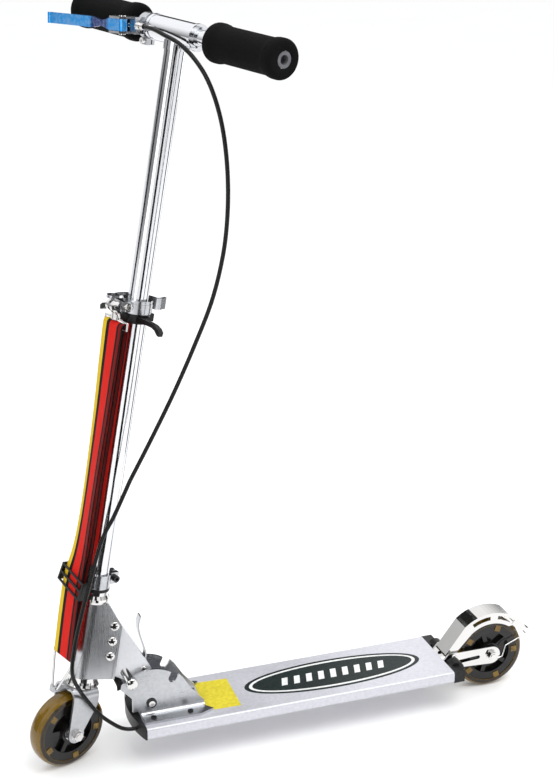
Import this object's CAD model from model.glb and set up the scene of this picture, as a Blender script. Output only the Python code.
"""Folding kick scooter: stage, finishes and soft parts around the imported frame."""

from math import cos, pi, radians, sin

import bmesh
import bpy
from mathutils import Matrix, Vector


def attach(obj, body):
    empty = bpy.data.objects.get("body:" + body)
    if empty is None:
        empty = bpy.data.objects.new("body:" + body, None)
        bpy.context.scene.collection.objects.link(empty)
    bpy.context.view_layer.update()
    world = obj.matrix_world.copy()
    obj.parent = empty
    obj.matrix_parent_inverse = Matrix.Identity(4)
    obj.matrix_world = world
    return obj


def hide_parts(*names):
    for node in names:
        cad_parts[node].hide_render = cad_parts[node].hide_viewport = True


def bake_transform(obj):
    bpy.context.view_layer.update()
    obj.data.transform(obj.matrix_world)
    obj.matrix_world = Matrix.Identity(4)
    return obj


bl_info = {
    "name": "Kick Scooter",
    "version": (1, 0, 0),
    "blender": (4, 5, 0),
    "location": "View3D > Sidebar > Scooter",
    "description": "Finishes, strap, grips, cable and stage for a folding kick scooter",
    "category": "Object",
}

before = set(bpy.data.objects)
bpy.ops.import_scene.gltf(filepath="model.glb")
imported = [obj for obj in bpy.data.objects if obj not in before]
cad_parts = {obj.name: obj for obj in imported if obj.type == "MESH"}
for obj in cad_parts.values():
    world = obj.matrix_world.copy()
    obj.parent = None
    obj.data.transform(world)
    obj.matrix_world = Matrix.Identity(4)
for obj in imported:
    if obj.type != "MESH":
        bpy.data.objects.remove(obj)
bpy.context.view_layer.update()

MM = 0.001

# ---- The steering column's own frame, as the part's source sets it ----

RAKE = radians(10.5)
BARS_TURN = radians(21)
WHEEL_BASE = 584
WHEEL_R = 50
FORK_OFFSET = 13
BARS = 865
BAR_HALF = 186
DECK_TOP = 55.5
AXIS_FOOT = Vector((
    WHEEL_BASE / 2 - FORK_OFFSET * cos(RAKE), 0, WHEEL_R - FORK_OFFSET * sin(RAKE),
))
TO_COLUMN = (
    Matrix.Translation(AXIS_FOOT)
    @ Matrix.Rotation(-RAKE, 4, "Y")
    @ Matrix.Rotation(BARS_TURN, 4, "Z")
)

# ---- Numbers for finishes and the camera ----

# Distances from the axle over which the tyre's dark band comes in and goes out, in metres
TONGUE_REACH = (0.0402, 0.0412)
TREAD_REACH = (0.0452, 0.0466)

# How far left of the column the lever's dark neck comes in and goes out, in metres
NECK_OUTER_END = (-0.120, -0.114)
NECK_INNER_END = (-0.087, -0.082)

# Camera's place, bearing, height angle and roll; its shift is a share of the picture's height
CAMERA_AT = (0.61258, 1.75230, 1.11170)
CAMERA_AZIMUTH, CAMERA_ELEVATION, CAMERA_ROLL = radians(161.04), radians(19.40), radians(-0.463)
CAMERA_SHIFT = (2.62 / 783, 0.90 / 783)


def column_point(forward, left, along):
    """A point of the turned steering column, in metres."""
    return TO_COLUMN @ Vector((forward, left, along)) * MM


def place(x, y, z):
    return Vector((x, y, z)) * MM


# ---- Settings ----

def colour(name, description, default):
    return bpy.props.FloatVectorProperty(
        name=name, description=description, default=default, subtype="COLOR", size=3, min=0, max=1)


class ScooterStageSettings(bpy.types.PropertyGroup):
    lens: bpy.props.FloatProperty(
        name="Lens", description="Focal length of the camera in millimetres", default=73.65, min=20)
    key_power: bpy.props.FloatProperty(
        name="Key light", description="Power of the large soft light overhead", default=34,
        min=0, subtype="POWER", unit="POWER")
    fill_power: bpy.props.FloatProperty(
        name="Fill light", description="Power of the soft light beside the camera", default=12,
        min=0, subtype="POWER", unit="POWER")
    rim_power: bpy.props.FloatProperty(
        name="Rim light", description="Power of the tall strip light behind", default=10,
        min=0, subtype="POWER", unit="POWER")
    sky: bpy.props.FloatProperty(
        name="Surround", description="Brightness of the pale surround", default=1.0, min=0)
    floor_colour: colour("Floor", "Colour of the floor", (0.90, 0.90, 0.90))


class ScooterMetalSettings(bpy.types.PropertyGroup):
    deck_colour: colour("Deck", "Anodised board and head block", (0.60, 0.60, 0.65))
    tube_colour: colour("Tubes", "Polished column tubes", (0.78, 0.79, 0.82))
    cast_colour: colour("Castings", "Clamps, bracket and levers", (0.50, 0.51, 0.53))
    chrome_colour: colour("Chrome", "Screws, pins, rings and cups", (0.70, 0.69, 0.68))
    lever_colour: colour("Brake lever", "Anodised brake lever", (0.02, 0.32, 0.80))
    wear: bpy.props.FloatProperty(
        name="Wear", description="How worn the edges look", default=0.35, min=0, max=1,
        subtype="FACTOR")


class ScooterSoftSettings(bpy.types.PropertyGroup):
    strap_red: colour("Strap red", "Broad stripe of the carry strap", (0.66, 0.012, 0.006))
    strap_yellow: colour("Strap yellow", "Edge stripe of the carry strap", (0.74, 0.50, 0.02))
    strap_black: colour("Strap black", "Dark stripes of the carry strap", (0.006, 0.005, 0.006))
    foam_colour: colour("Foam", "Foam of the grips", (0.004, 0.004, 0.004))
    cable_diameter: bpy.props.FloatProperty(
        name="Cable", description="Diameter of the brake cable's housing", default=5 * MM,
        min=2 * MM, subtype="DISTANCE", unit="LENGTH")
    strap_twist: bpy.props.FloatProperty(
        name="Strap twist", description="Turn of the webbing about its length, half way up",
        default=radians(14), subtype="ANGLE", unit="ROTATION")


class ScooterWheelSettings(bpy.types.PropertyGroup):
    tyre_colour: colour("Tyre", "Clear amber of the tyres", (0.30, 0.17, 0.016))
    core_colour: colour("Core", "Moulded wheel core", (0.004, 0.0035, 0.003))


# ---- Shader helpers ----

class Net:
    """Adds nodes to one node tree and links them in one line each."""

    def __init__(self, tree):
        self.tree = tree

    def add(self, kind, inputs=None, **settings):
        node = self.tree.nodes.new(kind)
        for key, value in settings.items():
            setattr(node, key, value)
        for key, value in (inputs or {}).items():
            if isinstance(value, bpy.types.NodeSocket):
                self.tree.links.new(value, node.inputs[key])
            else:
                node.inputs[key].default_value = value
        return node

    def link(self, out_socket, in_socket):
        self.tree.links.new(out_socket, in_socket)

    def here(self):
        """The shaded point in the object's own coordinates, in metres."""
        return self.add("ShaderNodeTexCoord").outputs["Object"]

    def noise(self, at, scale, detail, **more):
        inputs = {"Vector": at, "Scale": scale, "Detail": detail, **more}
        return self.add("ShaderNodeTexNoise", inputs).outputs["Fac"]

    def vector(self, operation, a, b=None, output=0):
        inputs = {0: a} if b is None else {0: a, 1: b}
        return self.add("ShaderNodeVectorMath", inputs, operation=operation).outputs[output]

    def maths(self, operation, a, b=0.0, clamp=False):
        node = self.add("ShaderNodeMath", {0: a, 1: b}, operation=operation, use_clamp=clamp)
        return node.outputs[0]

    def mix(self, factor, a, b):
        node = self.add("ShaderNodeMix", data_type="RGBA")
        for index, value in ((0, factor), (6, a), (7, b)):
            if isinstance(value, bpy.types.NodeSocket):
                self.tree.links.new(value, node.inputs[index])
            else:
                node.inputs[index].default_value = value
        return node.outputs[2]

    def spread(self, value, low, high, out_low=0.0, out_high=1.0):
        node = self.add("ShaderNodeMapRange", {
            "Value": value, "From Min": low, "From Max": high,
            "To Min": out_low, "To Max": out_high,
        }, clamp=True)
        return node.outputs[0]

    def ramp(self, factor, stops, interpolation="LINEAR"):
        node = self.add("ShaderNodeValToRGB", {"Fac": factor})
        node.color_ramp.interpolation = interpolation
        elements = node.color_ramp.elements
        while len(elements) < len(stops):
            elements.new(1.0)
        for element, (position, rgba) in zip(elements, stops):
            element.position = position
            element.color = rgba
        return node.outputs["Color"]


def rgba(c):
    return (c[0], c[1], c[2], 1.0)


def shade(c, k):
    return (min(c[0] * k, 1.0), min(c[1] * k, 1.0), min(c[2] * k, 1.0), 1.0)


def effect(name, inputs, outputs):
    """An empty shader node group: its tree, and its input and output nodes."""
    tree = bpy.data.node_groups.new(name, "ShaderNodeTree")
    for label, kind, default in inputs:
        socket = tree.interface.new_socket(label, in_out="INPUT", socket_type=kind)
        socket.default_value = default
    for label, kind in outputs:
        tree.interface.new_socket(label, in_out="OUTPUT", socket_type=kind)
    net = Net(tree)
    return net, net.add("NodeGroupInput").outputs, net.add("NodeGroupOutput").inputs


FLOAT, COLOR, VECTOR = "NodeSocketFloat", "NodeSocketColor", "NodeSocketVector"


def build_effects():
    """The effects that several finishes share."""
    # Fine drawn or brushed lines: the scale is small along the lines and large across them
    net, given, out = effect("Drawn Lines", [
        ("Scale", VECTOR, (40, 900, 900)), ("Contrast", FLOAT, 0.5),
    ], [("Mask", FLOAT)])
    drawn = net.noise(net.vector("MULTIPLY", net.here(), given["Scale"]), 1.0, 3.0)
    swing = net.maths("MULTIPLY", net.maths("SUBTRACT", drawn, 0.5), given["Contrast"])
    net.link(net.maths("ADD", swing, 0.5), out["Mask"])

    # Bare, brighter metal where edges stand proud
    net, given, out = effect("Edge Wear", [("Amount", FLOAT, 0.4), ("Break-up", FLOAT, 220.0)],
                             [("Mask", FLOAT)])
    edge = net.spread(net.add("ShaderNodeNewGeometry").outputs["Pointiness"], 0.51, 0.58)
    patches = net.noise(net.here(), given["Break-up"], 4.0)
    broken = net.maths("MULTIPLY", edge, net.spread(patches, 0.35, 0.65))
    net.link(net.maths("MULTIPLY", broken, given["Amount"], clamp=True), out["Mask"])

    # Pebbled or pored surface of moulded plastic, foam and rubber
    net, given, out = effect("Pores", [("Scale", FLOAT, 1500.0), ("Depth", FLOAT, 1.0)],
                             [("Height", FLOAT), ("Mask", FLOAT)])
    at = net.here()
    voronoi = net.add("ShaderNodeTexVoronoi", {"Vector": at, "Scale": given["Scale"]})
    cells = voronoi.outputs["Distance"]
    grain = net.noise(at, given["Scale"], 2.0)
    pores = net.maths("ADD", cells, net.maths("MULTIPLY", grain, 0.5))
    net.link(net.maths("MULTIPLY", pores, given["Depth"]), out["Height"])
    net.link(net.spread(pores, 0.3, 0.9), out["Mask"])

    # Slow change of tone, and light dust that lies on upward faces
    net, given, out = effect("Handling", [("Scale", FLOAT, 14.0), ("Dust", FLOAT, 0.3)],
                             [("Tone", FLOAT), ("Dust", FLOAT)])
    at = net.here()
    slow = net.noise(at, given["Scale"], 3.0)
    fine = net.noise(at, 420.0, 5.0)
    up = net.add("ShaderNodeSeparateXYZ", {0: net.add("ShaderNodeNewGeometry").outputs["Normal"]})
    lies = net.maths("MULTIPLY", net.spread(up.outputs["Z"], 0.2, 0.9), net.spread(fine, 0.5, 0.72))
    net.link(slow, out["Tone"])
    net.link(net.maths("MULTIPLY", lies, given["Dust"], clamp=True), out["Dust"])

    # Hairline scratches
    net, given, out = effect("Hairlines", [("Scale", FLOAT, 60.0), ("Amount", FLOAT, 0.5)],
                             [("Mask", FLOAT)])
    at = net.here()
    masks = []
    for stretch in ((1.0, 0.06, 0.3), (0.08, 1.0, 0.5)):
        lines = net.noise(net.vector("MULTIPLY", at, stretch), given["Scale"], 8.0, Roughness=0.75)
        masks.append(net.spread(lines, 0.66, 0.72))
    both = net.maths("MAXIMUM", masks[0], masks[1])
    net.link(net.maths("MULTIPLY", both, given["Amount"], clamp=True), out["Mask"])

    # How far a point lies from a wheel's axle, in metres
    net, given, out = effect("Axle Distance", [
        ("Centre", VECTOR, (0, 0, 0)), ("Axle", VECTOR, (0, 1, 0)),
    ], [("Distance", FLOAT)])
    arm = net.vector("SUBTRACT", net.here(), given["Centre"])
    across = net.vector("CROSS_PRODUCT", arm, given["Axle"])
    net.link(net.vector("LENGTH", across, output="Value"), out["Distance"])

    # Plain weave over a strip's own U (across) and V (along)
    net, given, out = effect("Webbing Weave", [("Across", FLOAT, 26.0), ("Along", FLOAT, 500.0)],
                             [("Height", FLOAT), ("Shadow", FLOAT)])
    uv = net.add("ShaderNodeSeparateXYZ", {0: net.add("ShaderNodeTexCoord").outputs["UV"]})
    across = net.maths("MULTIPLY", uv.outputs["X"], net.maths("MULTIPLY", given["Across"], pi))
    along = net.maths("MULTIPLY", uv.outputs["Y"], net.maths("MULTIPLY", given["Along"], pi))
    rib = net.maths("ABSOLUTE", net.maths("SINE", across))
    staggered = net.maths("ADD", along, net.maths("MULTIPLY", rib, 0.9))
    pick = net.maths("ABSOLUTE", net.maths("SINE", staggered))
    height = net.maths("ADD", net.maths("MULTIPLY", rib, 0.6), net.maths("MULTIPLY", pick, 0.5))
    net.link(height, out["Height"])
    net.link(net.spread(height, 0.15, 0.7, 0.62, 1.0), out["Shadow"])


def new_material(name):
    material = bpy.data.materials.new(name)
    material.use_nodes = True
    material.node_tree.nodes.clear()
    net = Net(material.node_tree)
    shader = net.add("ShaderNodeBsdfPrincipled")
    output = net.add("ShaderNodeOutputMaterial")
    net.link(shader.outputs[0], output.inputs["Surface"])
    return material, net, shader


def use(net, effect_name, inputs=None):
    node = net.add("ShaderNodeGroup", node_tree=bpy.data.node_groups[effect_name])
    for key, value in (inputs or {}).items():
        node.inputs[key].default_value = value
    return node.outputs


def feed(net, shader, links, constants=None):
    for key, value in (constants or {}).items():
        shader.inputs[key].default_value = value
    for key, socket in links.items():
        net.link(socket, shader.inputs[key])


def bump(net, height, distance, strength=1.0):
    return net.add("ShaderNodeBump", {
        "Height": height, "Distance": distance, "Strength": strength}).outputs[0]


def metal(name, tint, rough, lines=None, contrast=0.5, wear=0.0, scratches=0.3, dust=0.0,
          metallic=1.0, mottle=0.06, depth=0.00004):
    """A metal finish: tint, drawn lines, slow change of tone, wear on edges and hairlines."""
    material, net, shader = new_material(name)
    handling = use(net, "Handling", {"Scale": 16.0, "Dust": dust})
    base = net.mix(handling["Tone"], shade(tint, 1 - mottle), shade(tint, 1 + mottle))
    lined = None
    if lines:
        lined = use(net, "Drawn Lines", {"Scale": lines, "Contrast": contrast})["Mask"]
        base = net.mix(net.spread(lined, 0.25, 0.75), shade(tint, 0.90), base)
    worn = use(net, "Edge Wear", {"Amount": wear})["Mask"]
    base = net.mix(worn, base, shade(tint, 1.25))
    base = net.mix(handling["Dust"], base, (0.55, 0.53, 0.5, 1))
    hair = use(net, "Hairlines", {"Amount": scratches})["Mask"]
    roughness = net.maths("ADD", net.spread(handling["Tone"], 0.3, 0.7, rough * 0.85, rough * 1.15),
                          net.maths("MULTIPLY", hair, 0.12))
    if lined:
        roughness = net.maths("ADD", roughness, net.spread(lined, 0.2, 0.8, -0.04, 0.06))
        height = net.maths("SUBTRACT", lined, net.maths("MULTIPLY", hair, 0.5))
    else:
        height = net.maths("MULTIPLY", hair, -0.6)
    feed(net, shader, {
        "Base Color": base, "Roughness": roughness, "Normal": bump(net, height, depth),
    }, {"Metallic": metallic})
    return material


def plastic(name, tint, rough, pores=1400.0, pore_depth=0.00006, dust=0.12, coat=0.0, shine=0.3):
    """Moulded plastic or rubber: pored skin, slow change of tone, dust and paler edges."""
    material, net, shader = new_material(name)
    handling = use(net, "Handling", {"Scale": 22.0, "Dust": dust})
    base = net.mix(handling["Tone"], shade(tint, 0.8), shade(tint, 1.25))
    worn = use(net, "Edge Wear", {"Amount": 0.3})["Mask"]
    base = net.mix(worn, base, shade([c + 0.012 for c in tint], 1.8))
    base = net.mix(handling["Dust"], base, shade([c + 0.05 for c in tint], 1.2))
    pored = use(net, "Pores", {"Scale": pores})
    roughness = net.spread(pored["Mask"], 0.0, 1.0, rough * 0.85, min(rough * 1.15, 1.0))
    feed(net, shader, {
        "Base Color": base, "Roughness": roughness,
        "Normal": bump(net, pored["Height"], pore_depth),
    }, {"Metallic": 0.0, "Specular IOR Level": shine, "Coat Weight": coat, "Coat Roughness": 0.12})
    return material


def finish_nodes(material, *nodes):
    """Gives carried-over CAD nodes their finish."""
    for node in nodes:
        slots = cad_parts[node].data.materials
        slots.clear()
        slots.append(material)


# ---- Mesh helpers ----

def new_piece(name, mesh, material, smooth=True, body=None, replaces=()):
    obj = bpy.data.objects.new(name, mesh)
    bpy.context.scene.collection.objects.link(obj)
    for m in material if isinstance(material, (list, tuple)) else [material]:
        obj.data.materials.append(m)
    if smooth:
        mesh.shade_smooth()
    if body:
        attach(obj, body)
    if replaces:
        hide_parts(*replaces)
    return obj


def mesh_from(name, verts, faces, uvs=None, face_materials=None):
    mesh = bpy.data.meshes.new(name)
    mesh.from_pydata([tuple(v) for v in verts], [], faces)
    if uvs:
        layer = mesh.uv_layers.new(name="UVMap")
        for loop in mesh.loops:
            layer.data[loop.index].uv = uvs[loop.vertex_index]
    if face_materials:
        for polygon, index in zip(mesh.polygons, face_materials):
            polygon.material_index = index
    mesh.validate()
    mesh.update()
    return mesh


def catmull(points, steps):
    """A smooth curve through the points, with steps between neighbours."""
    out = []
    last = len(points) - 1
    for i in range(last):
        a, b, c, d = points[max(i - 1, 0)], points[i], points[i + 1], points[min(i + 2, last)]
        for k in range(steps):
            t = k / steps
            out.append(0.5 * (2 * b + (c - a) * t + (2 * a - 5 * b + 4 * c - d) * t * t
                              + (3 * b - a - 3 * c + d) * t ** 3))
    out.append(points[last].copy())
    return out


def tube_mesh(name, points, radius, sides=16):
    """A round tube along points; radius is a number or a function of the share of length."""
    verts, faces = [], []
    count = len(points)
    lengths = [0.0]
    for a, b in zip(points, points[1:]):
        lengths.append(lengths[-1] + (b - a).length)
    normal = None
    for i, p in enumerate(points):
        tangent = (points[min(i + 1, count - 1)] - points[max(i - 1, 0)]).normalized()
        if normal is None:
            normal = tangent.orthogonal().normalized()
        normal = (normal - tangent * normal.dot(tangent)).normalized()
        side = tangent.cross(normal)
        r = radius(lengths[i] / lengths[-1]) if callable(radius) else radius
        for k in range(sides):
            a = 2 * pi * k / sides
            verts.append(p + r * (cos(a) * normal + sin(a) * side))
    for i in range(count - 1):
        for k in range(sides):
            a, b = i * sides + k, i * sides + (k + 1) % sides
            faces.append((a, b, b + sides, a + sides))
    faces.append(tuple(reversed(range(sides))))
    faces.append(tuple(range((count - 1) * sides, count * sides)))
    return mesh_from(name, verts, faces)


def lathe_mesh(name, profile, matrix, sides=64):
    """A closed ring: the profile is a loop of (radius, height) in millimetres, turned about Z."""
    verts, faces = [], []
    count = len(profile)
    for k in range(sides):
        a = 2 * pi * k / sides
        verts += [matrix @ Vector((r * cos(a), r * sin(a), z)) * MM for r, z in profile]
    for k in range(sides):
        for j in range(count):
            a, b = k * count + j, k * count + (j + 1) % count
            c, d = ((k + 1) % sides) * count + (j + 1) % count, ((k + 1) % sides) * count + j
            faces.append((a, b, c, d))
    return mesh_from(name, verts, faces)


def slab_mesh(name, outline, z_low, z_high):
    """A thin flat slab with the given outline in millimetres, seen from above."""
    mesh = bpy.data.meshes.new(name)
    bm = bmesh.new()
    low = [bm.verts.new(place(x, y, z_low)) for x, y in outline]
    high = [bm.verts.new(place(x, y, z_high)) for x, y in outline]
    count = len(outline)
    for i in range(count):
        j = (i + 1) % count
        bm.faces.new((low[i], low[j], high[j], high[i]))
    bm.faces.new(high)
    bm.faces.new(list(reversed(low)))
    bmesh.ops.recalc_face_normals(bm, faces=bm.faces)
    bm.to_mesh(mesh)
    bm.free()
    return mesh


# ---- Operators ----

class SCOOTER_OT_stage(bpy.types.Operator):
    """Floor, studio lights, world and camera"""
    bl_idname = "scooter.stage"
    bl_label = "Stage"

    def execute(self, context):
        scene = context.scene
        settings = scene.scooter_stage
        scene.world = self.surround(settings)
        scene.view_settings.view_transform = "Standard"
        self.floor(settings)
        self.lights(scene, settings)
        self.cards()
        self.camera(scene, settings)
        return {"FINISHED"}

    @staticmethod
    def surround(settings):
        """A pale surround, dim near the horizon and bright overhead."""
        world = bpy.data.worlds.new("Studio")
        world.use_nodes = True
        net = Net(world.node_tree)
        background = world.node_tree.nodes["Background"]
        background.inputs["Color"].default_value = (0.97, 0.975, 0.98, 1)
        height = net.add("ShaderNodeSeparateXYZ", {
            0: net.add("ShaderNodeTexCoord").outputs["Generated"]}).outputs["Z"]
        glow = net.spread(height, 0.05, 0.55, settings.sky * 0.3, settings.sky * 1.25)
        net.link(glow, background.inputs["Strength"])
        return world

    def floor(self, settings):
        rings, segments, reach = 24, 96, 30.0
        verts, faces = [Vector((0, 0, 0))], []
        for i in range(1, rings + 1):
            r = reach * (i / rings) ** 2
            verts += [Vector((r * cos(2 * pi * k / segments), r * sin(2 * pi * k / segments), 0))
                      for k in range(segments)]
        for k in range(segments):
            faces.append((0, 1 + k, 1 + (k + 1) % segments))
        for i in range(rings - 1):
            for k in range(segments):
                a, b = 1 + i * segments + k, 1 + i * segments + (k + 1) % segments
                faces.append((a, a + segments, b + segments, b))
        mesh = mesh_from("floor", verts, faces)
        material, net, shader = new_material("Floor Paint")
        tone = use(net, "Handling", {"Scale": 3.0, "Dust": 0.0})["Tone"]
        floor_colour = settings.floor_colour
        base = net.mix(tone, shade(floor_colour, 0.99), shade(floor_colour, 1.01))
        feed(net, shader, {"Base Color": base}, {"Roughness": 0.75, "Specular IOR Level": 0.2})
        new_piece("floor", mesh, material)

    def lights(self, scene, settings):
        # Name, place, point aimed at, width, height and power
        rigs = [
            ("Key", (-0.5, 1.0, 2.6), (0.0, 0.0, 0.3), 2.2, 1.6, settings.key_power),
            ("Fill", (2.3, 1.9, 1.2), (0.0, 0.0, 0.45), 1.4, 1.8, settings.fill_power),
            ("Rim", (-1.8, -1.5, 1.2), (0.1, 0.0, 0.5), 0.6, 2.2, settings.rim_power),
        ]
        for name, at, aim, width, height, power in rigs:
            data = bpy.data.lights.new(name, "AREA")
            data.shape = "RECTANGLE"
            data.size, data.size_y = width, height
            data.energy = power
            light = bpy.data.objects.new(name, data)
            light.location = at
            light.rotation_euler = (Vector(aim) - Vector(at)).to_track_quat("-Z", "Y").to_euler()
            scene.collection.objects.link(light)

    def cards(self):
        """Black cards round the scooter, seen only in its polished metal."""
        material, net, shader = new_material("Black Card")
        tone = use(net, "Handling", {"Scale": 5.0, "Dust": 0.0})["Tone"]
        base = net.mix(tone, (0.006, 0.006, 0.006, 1), (0.012, 0.012, 0.012, 1))
        feed(net, shader, {"Base Color": base}, {"Roughness": 0.9, "Specular IOR Level": 0.1})
        column = Vector((0.19, 0.0, 0.0))
        # Bearing about the column, distance, width, foot and top, in metres
        stands = [
            (92, 0.60, 0.22, 0.0, 1.15), (188, 0.72, 0.20, 0.0, 1.15), (243, 0.65, 0.34, 0.0, 1.2),
            (346, 0.62, 0.16, 0.0, 1.1), (136, 0.95, 0.10, 0.0, 0.9),
        ]
        rows = 8
        for number, (bearing, distance, width, foot, top) in enumerate(stands, 1):
            out = Vector((cos(radians(bearing)), sin(radians(bearing)), 0))
            side = Vector((-out.y, out.x, 0)) * width / 2
            verts = []
            for i in range(rows + 1):
                middle = column + out * distance + Vector((0, 0, foot + (top - foot) * i / rows))
                verts += [middle - side, middle + side]
            faces = [(2 * i, 2 * i + 1, 2 * i + 3, 2 * i + 2) for i in range(rows)]
            self.card("card_%d" % number, verts, faces, material)
        # A dark patch on the floor that shades the head block and the fork
        corners = [(0.13, 0.24), (0.62, 0.24), (0.62, 0.95), (0.13, 0.95)]
        verts = [Vector((x, y, 0.004)) for x, y in corners]
        self.card("card_floor", verts, [(0, 1, 2, 3)], material)

    @staticmethod
    def card(name, verts, faces, material):
        card = new_piece(name, mesh_from(name, verts, faces), material, smooth=False)
        card.visible_camera = card.visible_diffuse = False
        card.visible_shadow = card.visible_transmission = False

    def camera(self, scene, settings):
        azimuth, elevation, roll = CAMERA_AZIMUTH, CAMERA_ELEVATION, CAMERA_ROLL
        back = Vector((
            sin(azimuth) * cos(elevation), -cos(azimuth) * cos(elevation), sin(elevation)))
        right = Vector((cos(azimuth), sin(azimuth), 0))
        up = back.cross(right)
        x_axis = right * cos(roll) + up * sin(roll)
        y_axis = up * cos(roll) - right * sin(roll)
        data = bpy.data.cameras.new("Camera")
        data.sensor_width = 36
        data.lens = settings.lens
        data.shift_x, data.shift_y = CAMERA_SHIFT
        data.dof.use_dof = False
        data.clip_end = 100
        camera = bpy.data.objects.new("Camera", data)
        rotation = Matrix((x_axis, y_axis, back)).transposed().to_4x4()
        camera.matrix_world = Matrix.Translation(CAMERA_AT) @ rotation
        scene.collection.objects.link(camera)
        scene.camera = camera


class SCOOTER_OT_metal(bpy.types.Operator):
    """Finishes on the deck, column, castings, plates, screws and levers"""
    bl_idname = "scooter.metal"
    bl_label = "Metal Parts"

    def execute(self, context):
        s = context.scene.scooter_metal
        board = metal("Anodised Board", s.deck_colour, 0.4, lines=(12, 1500, 1500), contrast=0.7,
                      wear=s.wear, scratches=0.35, dust=0.08, metallic=0.4, mottle=0.03)
        block = metal("Extruded Block", s.cast_colour, 0.24, lines=(900, 900, 14), contrast=0.6,
                      wear=s.wear, scratches=0.2, mottle=0.08)
        tube = metal("Polished Tube", s.tube_colour, 0.09, lines=(700, 700, 10), contrast=0.4,
                     wear=0.1, scratches=0.25, mottle=0.04)
        casting = metal("Polished Casting", s.cast_colour, 0.2, lines=(300, 300, 300), contrast=0.3,
                        wear=s.wear, scratches=0.2, mottle=0.12)
        plate = metal("Plated Sheet", s.cast_colour, 0.26, lines=(30, 400, 900), contrast=0.4,
                      wear=s.wear, scratches=0.35, dust=0.1, mottle=0.08)
        chrome = metal("Chrome", s.chrome_colour, 0.08, wear=0.0, scratches=0.25, mottle=0.05)
        dark = metal("Blackened Steel", (0.05, 0.05, 0.055), 0.38, wear=0.7, scratches=0.4)
        fork = metal("Fork Plating", s.cast_colour, 0.3, lines=(200, 200, 60), contrast=0.4,
                     wear=s.wear, scratches=0.2, mottle=0.1)
        bright = metal("White Anodised", (0.70, 0.71, 0.74), 0.36, wear=0.2, scratches=0.2,
                       metallic=0.6, mottle=0.03)
        finish_nodes(board, "deck")
        finish_nodes(block, "neck_extrusion")
        finish_nodes(tube, "outer_tube", "inner_tube", "bar_left", "bar_right", "tee_head")
        finish_nodes(casting, "headset_clamp", "height_clamp", "brake_clamp", "clamp_lever",
                     "release_lever")
        finish_nodes(plate, "fold_plate_left", "fold_plate_right")
        finish_nodes(fork, "fork")
        finish_nodes(bright, "neck_bracket")
        finish_nodes(chrome, "fold_pivot", "rear_axle", "rear_axle_nut", "fender_pin",
                     "fender_spring", "lock_bolt", "neck_screws", "headset_cups",
                     "headset_bearings", "release_pin", "clamp_bolt", "front_axle",
                     "front_axle_nut", "snap_hook", "strap_ring", "barrel_adjuster", "lever_pin",
                     "front_bearings", "rear_bearings", "fender_brake", "rear_fork_left",
                     "rear_fork_right")
        finish_nodes(dark, "pivot_ring", "plate_screws", "headset_clamp_bolt")
        finish_nodes(self.blue(s), "brake_lever")
        return {"FINISHED"}

    @staticmethod
    def blue(s):
        """Blue anodising: light on the blade and the block, dark on the waisted neck."""
        material, net, shader = new_material("Blue Anodised")
        handling = use(net, "Handling", {"Scale": 30.0})
        light = net.mix(handling["Tone"], shade(s.lever_colour, 0.85), shade(s.lever_colour, 1.15))
        along = (TO_COLUMN.to_3x3() @ Vector((0, 1, 0))).normalized()
        foot = TO_COLUMN @ Vector((0, 0, BARS)) * MM
        arm = net.vector("SUBTRACT", net.here(), foot)
        left = net.vector("DOT_PRODUCT", arm, along, output="Value")
        neck = net.maths("MULTIPLY", net.spread(left, *NECK_OUTER_END),
                         net.spread(left, *reversed(NECK_INNER_END)))
        base = net.mix(neck, light, (0.004, 0.016, 0.16, 1))
        worn = use(net, "Edge Wear", {"Amount": 0.3})["Mask"]
        base = net.mix(worn, base, (0.5, 0.66, 0.85, 1))
        hair = use(net, "Hairlines", {"Amount": 0.25})["Mask"]
        feed(net, shader, {
            "Base Color": base, "Roughness": net.spread(hair, 0.0, 1.0, 0.2, 0.4),
            "Normal": bump(net, hair, 0.00003),
        }, {"Metallic": 0.7})
        return material


class SCOOTER_OT_plastic(bpy.types.Operator):
    """Finishes on the moulded caps, clip, buckle, plugs and bumper"""
    bl_idname = "scooter.plastic"
    bl_label = "Plastic Parts"

    def execute(self, context):
        moulded = plastic("Moulded Black", (0.004, 0.004, 0.0045), 0.34)
        rubber = plastic("Bumper Rubber", (0.004, 0.004, 0.004), 0.6, pores=900.0, shine=0.15)
        plug = plastic("Grey Plug", (0.10, 0.10, 0.11), 0.45)
        finish_nodes(moulded, "deck_front_cap", "deck_rear_caps", "headset_ring", "holder_clip",
                     "strap_slider")
        finish_nodes(rubber, "fold_bumper")
        finish_nodes(plug, "bar_plugs")
        return {"FINISHED"}


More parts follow.
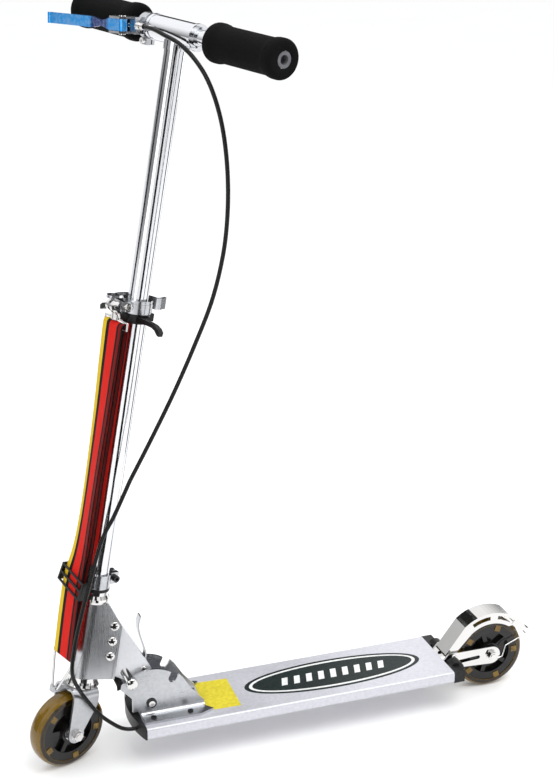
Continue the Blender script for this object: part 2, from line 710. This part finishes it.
class SCOOTER_OT_wheels(bpy.types.Operator):
    """Clear amber tyres and dark moulded cores"""
    bl_idname = "scooter.wheels"
    bl_label = "Wheels"

    def execute(self, context):
        s = context.scene.scooter_wheels
        axle = (TO_COLUMN.to_3x3() @ Vector((0, 1, 0))).normalized()
        centre = TO_COLUMN @ Vector((FORK_OFFSET, 0, 0)) * MM
        front = self.amber("Front Amber", s, centre, axle)
        rear = self.amber("Rear Amber", s, place(-WHEEL_BASE / 2, 0, WHEEL_R), Vector((0, 1, 0)))
        finish_nodes(front, "front_tyre")
        finish_nodes(rear, "rear_tyre")
        core = plastic("Wheel Core", s.core_colour, 0.2, pores=700.0, pore_depth=0.00002, dust=0.04,
                       coat=0.25)
        finish_nodes(core, "front_core", "rear_core")
        return {"FINISHED"}

    @staticmethod
    def amber(name, s, centre, axle):
        """Clear amber at the tread and the tongues, dark where it lies over the core's rim."""
        material, net, shader = new_material(name)
        handling = use(net, "Handling", {"Scale": 30.0, "Dust": 0.12})
        base = net.mix(handling["Tone"], shade(s.tyre_colour, 0.7), shade(s.tyre_colour, 1.2))
        reach = use(net, "Axle Distance", {"Centre": centre, "Axle": axle})["Distance"]
        tread = net.spread(reach, *TREAD_REACH)
        tongue = net.spread(reach, *reversed(TONGUE_REACH))
        base = net.mix(net.maths("MAXIMUM", tread, tongue), (0.02, 0.011, 0.003, 1), base)
        base = net.mix(handling["Dust"], base, (0.3, 0.24, 0.12, 1))
        hair = use(net, "Hairlines", {"Amount": 0.5, "Scale": 90.0})["Mask"]
        roughness = net.spread(hair, 0.0, 1.0, 0.12, 0.35)
        feed(net, shader, {
            "Base Color": base, "Roughness": roughness,
            "Normal": bump(net, hair, 0.00005),
        }, {"Metallic": 0.0, "Transmission Weight": 0.5, "IOR": 1.45, "Coat Weight": 0.15})
        return material


class SCOOTER_OT_grips(bpy.types.Operator):
    """Foam grips with flared, rounded ends"""
    bl_idname = "scooter.grips"
    bl_label = "Foam Grips"

    def execute(self, context):
        s = context.scene.scooter_soft
        foam = plastic("Grip Foam", s.foam_colour, 0.82, pores=1100.0, pore_depth=0.00022,
                       dust=0.03, shine=0.08)
        # Radius at the flared ends and in the middle, length, bore radius and round of the edges
        end, mid, length, bore, edge = 22.0, 20.2, 116.0, 9.5, 5.5
        outer = [(end - edge + edge * cos(a), edge + edge * sin(a))
                 for a in (radians(d) for d in range(-90, 1, 10))]
        outer += [(end, 8), (end, 11), (end - 0.3, 13.5), (mid + 0.5, 17), (mid, 20)]
        outer += [(mid, 20 + (length - 40) * k / 12) for k in range(1, 12)]
        outer += [(r, length - z) for r, z in reversed(outer[:15])]
        inner = [(bore, length - length * k / 12) for k in range(13)]
        grips = [(1, "grip_foam_left", "grip_left"), (-1, "grip_foam_right", "grip_right")]
        for side, name, node in grips:
            turn = Matrix.Rotation(radians(-90 * side), 4, "X")
            lift = Matrix.Translation((0, 0, BAR_HALF - length))
            matrix = TO_COLUMN @ Matrix.Translation((0, 0, BARS)) @ turn @ lift
            mesh = lathe_mesh(name, outer + inner, matrix)
            new_piece(name, mesh, foam, body="handlebar_body", replaces=[node])
        return {"FINISHED"}


class SCOOTER_OT_strap(bpy.types.Operator):
    """Striped carry strap, one loop of webbing between the snap hook and the ring"""
    bl_idname = "scooter.strap"
    bl_label = "Carry Strap"

    front = [
        (31, 526.5), (30.5, 470.5), (30, 400.5), (31, 260), (36, 205), (36.5, 160), (35, 104),
    ]
    rear = [
        (22.5, 526.5), (21.5, 470.5), (21, 400.5), (22, 260), (29, 205), (29.5, 160), (29.8, 104),
    ]
    width, thickness = 38.0, 1.5
    twist_from, twist_over = 215, 300     # where the twist starts along the column, and its length

    def execute(self, context):
        s = context.scene.scooter_soft
        material = self.webbing(s)
        path = self.path()
        count = len(path)
        across = 14
        verts, faces, uvs = [], [], []
        travelled = 0.0
        for i, p in enumerate(path):
            before, after = path[(i - 1) % count], path[(i + 1) % count]
            if i:
                travelled += (p - path[i - 1]).length
            tangent = (after - before).normalized()
            share_up = min(max((p.y - self.twist_from) / self.twist_over, 0), 1)
            twist = s.strap_twist * sin(pi * share_up ** 0.6)
            for face in (1, -1):
                for j in range(across + 1):
                    share = j / across
                    left = (share - 0.5) * self.width * face
                    edge = min(share, 1 - share) * self.width
                    half = 0.5 * self.thickness * min(1.0, 0.35 + edge / 1.6)
                    normal = Vector((tangent.y, -tangent.x)) * half * face
                    forward = p.x + normal.x + left * sin(twist)
                    along = p.y + normal.y
                    verts.append(column_point(forward, left * cos(twist), along))
                    uvs.append((share if face > 0 else 1 - share, travelled * MM))
        ring = 2 * (across + 1)
        for i in range(count):
            n = ((i + 1) % count) * ring
            for k in range(ring):
                faces.append((i * ring + k, i * ring + (k + 1) % ring, n + (k + 1) % ring, n + k))
        mesh = mesh_from("carry_strap_webbing", verts, faces, uvs)
        new_piece("carry_strap_webbing", mesh, material, body="column_body",
                  replaces=["carry_strap"])
        return {"FINISHED"}

    def path(self):
        """The loop's centre line, as (forward, along) in millimetres."""
        front = catmull([Vector(p) for p in self.front], 12)
        rear = catmull([Vector(p) for p in self.rear], 12)
        foot = self.half_turn(front[-1], rear[-1], 0)
        top = self.half_turn(rear[0], front[0], pi)
        return front + foot + list(reversed(rear)) + top

    @staticmethod
    def half_turn(a, b, start):
        centre, r = (a + b) / 2, (a - b).length / 2
        steps = 8
        return [centre + r * Vector((cos(start - pi * k / steps), sin(start - pi * k / steps)))
                for k in range(1, steps)]

    @staticmethod
    def webbing(s):
        material, net, shader = new_material("Striped Webbing")
        uv = net.add("ShaderNodeSeparateXYZ", {0: net.add("ShaderNodeTexCoord").outputs["UV"]})
        wobble = use(net, "Handling", {"Scale": 90.0, "Dust": 0.1})
        sway = net.spread(wobble["Tone"], 0.2, 0.8, -0.006, 0.006)
        share = net.maths("ADD", uv.outputs["X"], sway)
        yellow, black, red = rgba(s.strap_yellow), rgba(s.strap_black), rgba(s.strap_red)
        wine = shade(s.strap_red, 0.28)
        base = net.ramp(share, [
            (0.0, yellow), (0.20, black), (0.35, red), (0.74, black), (0.83, wine), (0.95, black),
        ], "CONSTANT")
        weave = use(net, "Webbing Weave")
        base = net.mix(weave["Shadow"], (0, 0, 0, 1), base)
        base = net.mix(net.maths("MULTIPLY", wobble["Dust"], 0.5), base, (0.4, 0.3, 0.25, 1))
        feed(net, shader, {
            "Base Color": base, "Normal": bump(net, weave["Height"], 0.0003),
        }, {
            "Roughness": 0.8, "Specular IOR Level": 0.15,
            "Sheen Weight": 0.04, "Sheen Roughness": 0.4,
        })
        return material


class SCOOTER_OT_cable(bpy.types.Operator):
    """Brake cable from the hand lever down to the deck, bending where the scooter moves"""
    bl_idname = "scooter.cable"
    bl_label = "Brake Cable"

    upper = [
        (22, -37, 863.9), (22, -16, 864.2), (21, 4, 861), (18, 28, 856), (14, 52, 845),
        (8, 73, 827), (0, 88, 801), (-8, 99, 768), (-17, 105, 726), (-25, 106, 680), (-30, 103, 634),
        (-32, 94, 580), (-29, 79, 521), (-21, 65, 460), (-9, 52, 400), (5, 42, 346),
    ]
    middle = [
        (5, 42, 346), (14, 34, 300), (24, 29, 265), (34, 31, 210), (39, 29.5, 160), (41, 29, 120),
        (38, 30, 90),
    ]
    lower = [
        (275, 30, 108), (262, 30, 86), (250, 30, 70), (233, 30, 54), (222, 30, 47.5),
        (211, 30, 45.5), (200, 30, 45.5), (192, 30, 45.5),
    ]

    def execute(self, context):
        s = context.scene.scooter_soft
        material = plastic("Cable Housing", (0.003, 0.003, 0.003), 0.26, pores=500.0,
                           pore_depth=0.00002, shine=0.25)
        r = s.cable_diameter / 2
        lower = [place(*p) for p in self.lower]
        upper = [column_point(*p) for p in self.upper]
        middle = [column_point(*p) for p in self.middle] + [lower[0]]
        deck_entry = lower[5]
        stretches = [
            ("brake_cable_upper", upper, "handlebar_body", "column_body", "cable_upper", upper[-1]),
            ("brake_cable_middle", middle, "column_body", "neck_body", "cable_middle", middle[-1]),
            ("brake_cable_lower", lower, "neck_body", "deck_body", "cable_lower", deck_entry),
        ]
        for name, points, above, below, node, end in stretches:
            mesh = tube_mesh(name, catmull(points, 8), r)
            obj = new_piece(name, mesh, material, replaces=[node])
            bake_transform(obj)
        return {"FINISHED"}


class SCOOTER_OT_graphics(bpy.types.Operator):
    """Plain oval badge and label on the deck"""
    bl_idname = "scooter.graphics"
    bl_label = "Deck Graphics"

    def execute(self, context):
        dark = plastic("Badge Print", (0.004, 0.010, 0.010), 0.4, pore_depth=0.00001)
        white = plastic("Badge Line", (0.62, 0.63, 0.62), 0.35, pore_depth=0.00001)
        yellow = plastic("Plain Label", (0.50, 0.42, 0.015), 0.5, pore_depth=0.00001)
        centre = (-68.5, 0.0)
        # Each oval's half length, half width and rise over the board, in millimetres
        layers = [
            ("badge_field", 123.2, 36.5, 0.10, dark), ("badge_line", 117.0, 32.2, 0.16, white),
            ("badge_middle", 112.5, 28.4, 0.22, dark),
        ]
        for name, a, b, rise, material in layers:
            outline = [(centre[0] + a * cos(2 * pi * k / 96), centre[1] + b * sin(2 * pi * k / 96))
                       for k in range(96)]
            mesh = slab_mesh(name, outline, DECK_TOP - 0.02, DECK_TOP + rise)
            new_piece(name, mesh, material, smooth=False, body="deck_body")
        # A plain row of slanted bars on the badge
        bars, pitch, thick, lean, tall = 9, 17.0, 4, 3.0, 10.5
        for k in range(bars):
            step = k - (bars - 1) / 2
            x = centre[0] + step * pitch
            half = tall - 0.35 * abs(step)
            outline = [(x - thick - lean, -half), (x + thick - lean, -half),
                       (x + thick + lean, half), (x - thick + lean, half)]
            mesh = slab_mesh("badge_bar_%d" % (k + 1), outline, DECK_TOP + 0.2, DECK_TOP + 0.27)
            new_piece("badge_bar_%d" % (k + 1), mesh, white, smooth=False, body="deck_body")
        label = [(114, -36.6), (69, -34), (71.5, 37.4), (116, 36)]
        mesh = slab_mesh("plain_label", label, DECK_TOP - 0.02, DECK_TOP + 0.12)
        new_piece("plain_label", mesh, yellow, smooth=False, body="deck_body")
        return {"FINISHED"}


class SCOOTER_PT_panel(bpy.types.Panel):
    """Lists the scooter's builders"""
    bl_idname = "SCOOTER_PT_panel"
    bl_label = "Kick Scooter"
    bl_space_type = "VIEW_3D"
    bl_region_type = "UI"
    bl_category = "Scooter"

    def draw(self, context):
        for operator in OPERATORS:
            self.layout.operator(operator.bl_idname)


SETTINGS = {
    "scooter_stage": ScooterStageSettings,
    "scooter_metal": ScooterMetalSettings,
    "scooter_soft": ScooterSoftSettings,
    "scooter_wheels": ScooterWheelSettings,
}
OPERATORS = [
    SCOOTER_OT_stage, SCOOTER_OT_metal, SCOOTER_OT_plastic, SCOOTER_OT_wheels, SCOOTER_OT_grips,
    SCOOTER_OT_strap, SCOOTER_OT_cable, SCOOTER_OT_graphics,
]


def register():
    for name, group in SETTINGS.items():
        bpy.utils.register_class(group)
        setattr(bpy.types.Scene, name, bpy.props.PointerProperty(type=group))
    for cls in (*OPERATORS, SCOOTER_PT_panel):
        bpy.utils.register_class(cls)


def unregister():
    for cls in reversed((*OPERATORS, SCOOTER_PT_panel)):
        bpy.utils.unregister_class(cls)
    for name, group in SETTINGS.items():
        delattr(bpy.types.Scene, name)
        bpy.utils.unregister_class(group)


def main():
    register()
    build_effects()
    bpy.ops.scooter.stage()
    bpy.ops.scooter.metal()
    bpy.ops.scooter.plastic()
    bpy.ops.scooter.wheels()
    bpy.ops.scooter.grips()
    bpy.ops.scooter.strap()
    bpy.ops.scooter.cable()
    bpy.ops.scooter.graphics()


if __name__ == "__main__":
    main()
